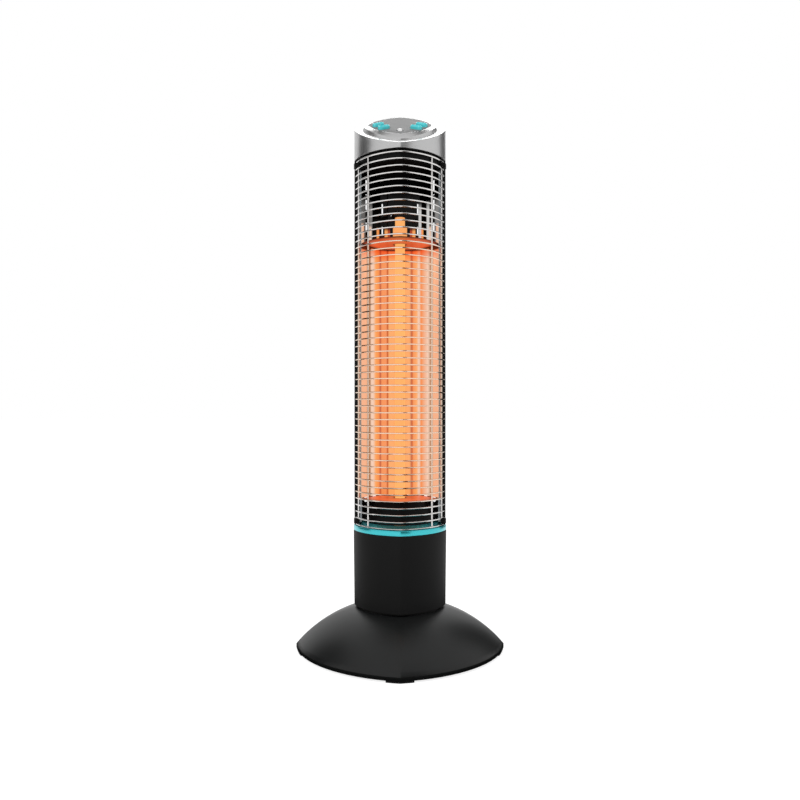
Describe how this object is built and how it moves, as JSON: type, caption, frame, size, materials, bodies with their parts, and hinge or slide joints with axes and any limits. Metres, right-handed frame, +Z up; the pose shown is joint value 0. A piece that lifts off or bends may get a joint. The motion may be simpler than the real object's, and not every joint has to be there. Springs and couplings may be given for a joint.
{
  "type": "patio heater",
  "caption": "Free-standing infrared heater tower with a wire-guarded tube and reflector that turn on a domed base, and keys on a slanted head.",
  "frame": {"origin": "on the floor, under the centre of the base and the turning axis", "axes": "+Z up, -Y towards the front, +X to the right as seen from the front"},
  "size_m": [0.318, 0.318, 0.8371],
  "materials": {
    "black_abs": "satin",
    "teal_paint": "metallic gloss",
    "silver_paint": "satin metallic",
    "panel_grey": "matt",
    "teal_plastic": "gloss",
    "chrome_wire": "bright plated",
    "bright_aluminium": "mirror",
    "zinc_steel": "zinc plated",
    "cast_iron": "raw",
    "rubber": "matt",
    "quartz": "clear",
    "carbon": "matt",
    "ceramic": "matt",
    "acetal": "satin",
    "circuit_board": "lacquered",
    "cable": "matt",
    "clear_lens": "gloss"
  },
  "bodies": {
    "base": {"base_shell": "black_abs", "base_plate": "zinc_steel", "ballast_plate": "cast_iron", "cord_gland": "black_abs", "terminal_block": "acetal", "swivel_gear": "acetal", "swivel_washer": "acetal", "supply_lead": "cable", "foot_front": "rubber", "foot_back": "rubber", "foot_left": "rubber", "foot_right": "rubber", "base_screw_1": "zinc_steel", "base_screw_2": "zinc_steel", "base_screw_3": "zinc_steel", "base_screw_4": "zinc_steel", "tip_switch": "black_abs"},
    "tower": {"turntable": "black_abs", "column_shell": "black_abs", "lower_inner_cover": "black_abs", "rear_housing": "black_abs", "upper_collar": "black_abs", "upper_inner_cover": "black_abs", "guard_clip_lower_left": "black_abs", "guard_clip_lower_right": "black_abs", "guard_clip_upper_left": "black_abs", "guard_clip_upper_right": "black_abs", "trim_ring": "teal_paint", "head_shell": "silver_paint", "control_panel": "panel_grey", "front_guard": "chrome_wire", "reflector": "bright_aluminium", "lower_shield": "bright_aluminium", "upper_shield": "bright_aluminium", "housing_screw_left": "zinc_steel", "housing_screw_right": "zinc_steel", "swivel_retainer": "zinc_steel", "oscillation_motor": "zinc_steel", "tube_bracket": "zinc_steel", "side_rail_left": "zinc_steel", "side_rail_right": "zinc_steel", "thermal_cutout": "zinc_steel", "heating_tube": "quartz", "carbon_filament": "carbon", "end_cap_lower": "ceramic", "end_cap_upper": "ceramic", "tube_collar": "ceramic", "power_board": "circuit_board", "control_board": "circuit_board", "panel_harness": "cable", "tube_lead_lower": "cable", "tube_lead_upper": "cable", "receiver_lens": "clear_lens"},
    "plunger": {"tip_plunger": "acetal"},
    "pinion": {"drive_pinion": "acetal"},
    "power_key": {"button_power": "teal_plastic"},
    "heat_key": {"button_heat": "teal_plastic"},
    "swing_key": {"button_swing": "teal_plastic"},
    "timer_key": {"button_timer": "teal_plastic"}
  },
  "joints": [
    {"name": "oscillation", "type": "hinge", "parent": "base", "child": "tower", "pos_m": [0, 0, 0], "axis": [0, 0, 1], "range_deg": [-40, 40]},
    {"name": "pinion_turn", "type": "hinge", "parent": "tower", "child": "pinion", "pos_m": [0, 0.0405, 0.054], "axis": [0, 0, 1], "range_deg": [-116, 116]},
    {"name": "tip_plunger_drop", "type": "slide", "parent": "base", "child": "plunger", "axis": [0, 0, -1], "range_m": [0, 0.005], "stiffness_N_per_m": 80, "springref_m": 0.006},
    {"name": "press_power", "type": "slide", "parent": "tower", "child": "power_key", "axis": [0, 0.5075, -0.8616], "range_m": [0, 0.001], "stiffness_N_per_m": 1200, "springref_m": -0.0005},
    {"name": "press_heat", "type": "slide", "parent": "tower", "child": "heat_key", "axis": [0, 0.5075, -0.8616], "range_m": [0, 0.001], "stiffness_N_per_m": 1200, "springref_m": -0.0005},
    {"name": "press_swing", "type": "slide", "parent": "tower", "child": "swing_key", "axis": [0, 0.5075, -0.8616], "range_m": [0, 0.001], "stiffness_N_per_m": 1200, "springref_m": -0.0005},
    {"name": "press_timer", "type": "slide", "parent": "tower", "child": "timer_key", "axis": [0, 0.5075, -0.8616], "range_m": [0, 0.001], "stiffness_N_per_m": 1200, "springref_m": -0.0005}
  ],
  "couplings": [
    {"joint": "pinion_turn", "follows": "oscillation", "ratio": 2.8571}
  ]
}
